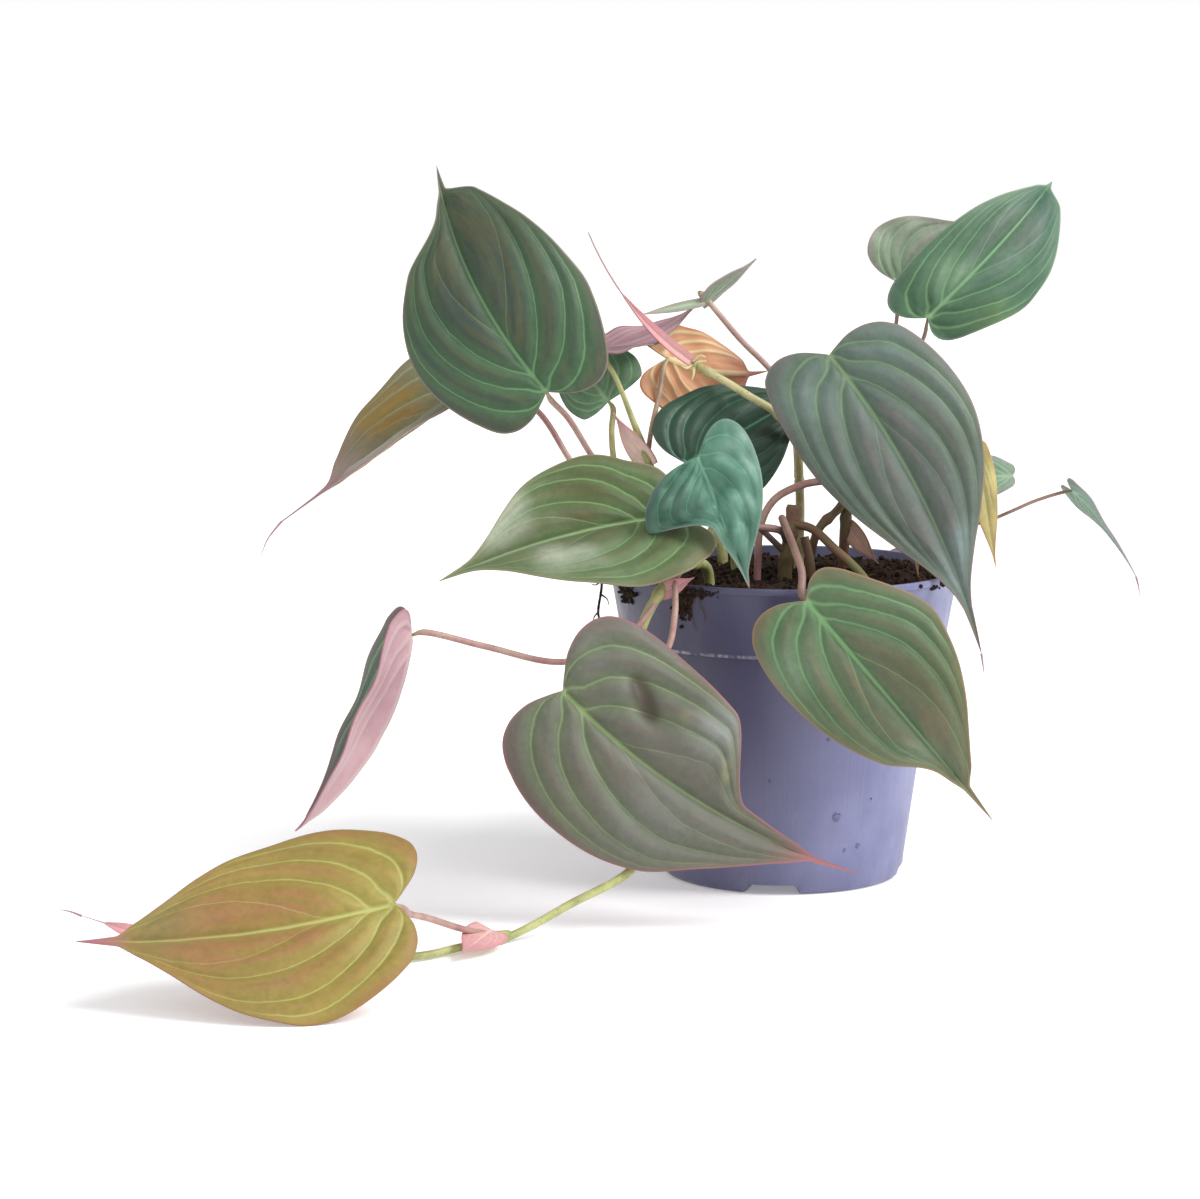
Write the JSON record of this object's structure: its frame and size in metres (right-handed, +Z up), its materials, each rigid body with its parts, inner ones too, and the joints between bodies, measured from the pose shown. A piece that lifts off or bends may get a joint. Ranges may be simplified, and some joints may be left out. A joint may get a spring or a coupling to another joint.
{
  "type": "potted micans philodendron",
  "caption": "Trailing velvet-leaf philodendron in a round plastic nursery pot: heart-shaped leaves on thin vines, one vine trailing to the surface.",
  "frame": {"origin": "on the surface that the pot stands on, under the middle of the pot", "axes": "+Z up, -Y towards the front of the plant as the picture shows it, +X to the right of that view"},
  "size_m": [0.3483, 0.3084, 0.2422],
  "materials": {
    "leaf_green": "velvety dark green leaf with a bronze and grey bloom between pale green veins",
    "leaf_bronze": "velvety bronze-green leaf with bright green veins",
    "leaf_ochre": "velvety ochre leaf with yellow-green veins",
    "leaf_new": "glossy young blue-green leaf",
    "leaf_coral": "coral and yellow new leaf",
    "leaf_rose": "rose-grey underside of a leaf",
    "vine_green": "smooth yellow-green stem",
    "stem_brown": "smooth red-brown stem",
    "sheath_pink": "thin pink sheath",
    "root_dark": "dark thin root",
    "pot_plastic": "satin blue-grey moulded plastic",
    "soil_dark": "dark brown fibrous potting soil"
  },
  "bodies": {
    "root": {"blade_upper_left": "leaf_green", "blade_far_left": "leaf_ochre", "blade_behind_left": "leaf_green", "blade_mid_left": "leaf_bronze", "blade_edge_left": "leaf_rose", "blade_on_floor": "leaf_ochre", "blade_front": "leaf_green", "blade_centre_small": "leaf_new", "blade_centre_dark": "leaf_green", "blade_coral": "leaf_coral", "blade_rose_underside": "leaf_rose", "blade_edge_top": "leaf_rose", "blade_right": "leaf_green", "blade_front_right": "leaf_bronze", "blade_top_right": "leaf_green", "blade_behind_top_right": "leaf_green", "blade_olive_edge": "leaf_ochre", "blade_small_right": "leaf_green", "blade_far_right": "leaf_new", "blade_low_right": "leaf_bronze", "blade_back_hanging": "leaf_green", "blade_back_side": "leaf_green", "blade_back_right": "leaf_bronze", "blade_back_left": "leaf_green", "vine_left": "vine_green", "vine_upper": "vine_green", "vine_right": "stem_brown", "vine_trailing": "vine_green", "stem_cluster": "stem_brown", "stem_arching": "vine_green", "stem_stub": "stem_brown", "vine_back": "vine_green", "spike_new_leaf": "sheath_pink", "sheath_upper": "sheath_pink", "sheath_rim": "sheath_pink", "sheath_floor": "sheath_pink", "spike_floor": "sheath_pink", "sheath_withered": "sheath_pink", "pot": "pot_plastic", "soil": "soil_dark", "aerial_root": "root_dark"}
  },
  "joints": []
}
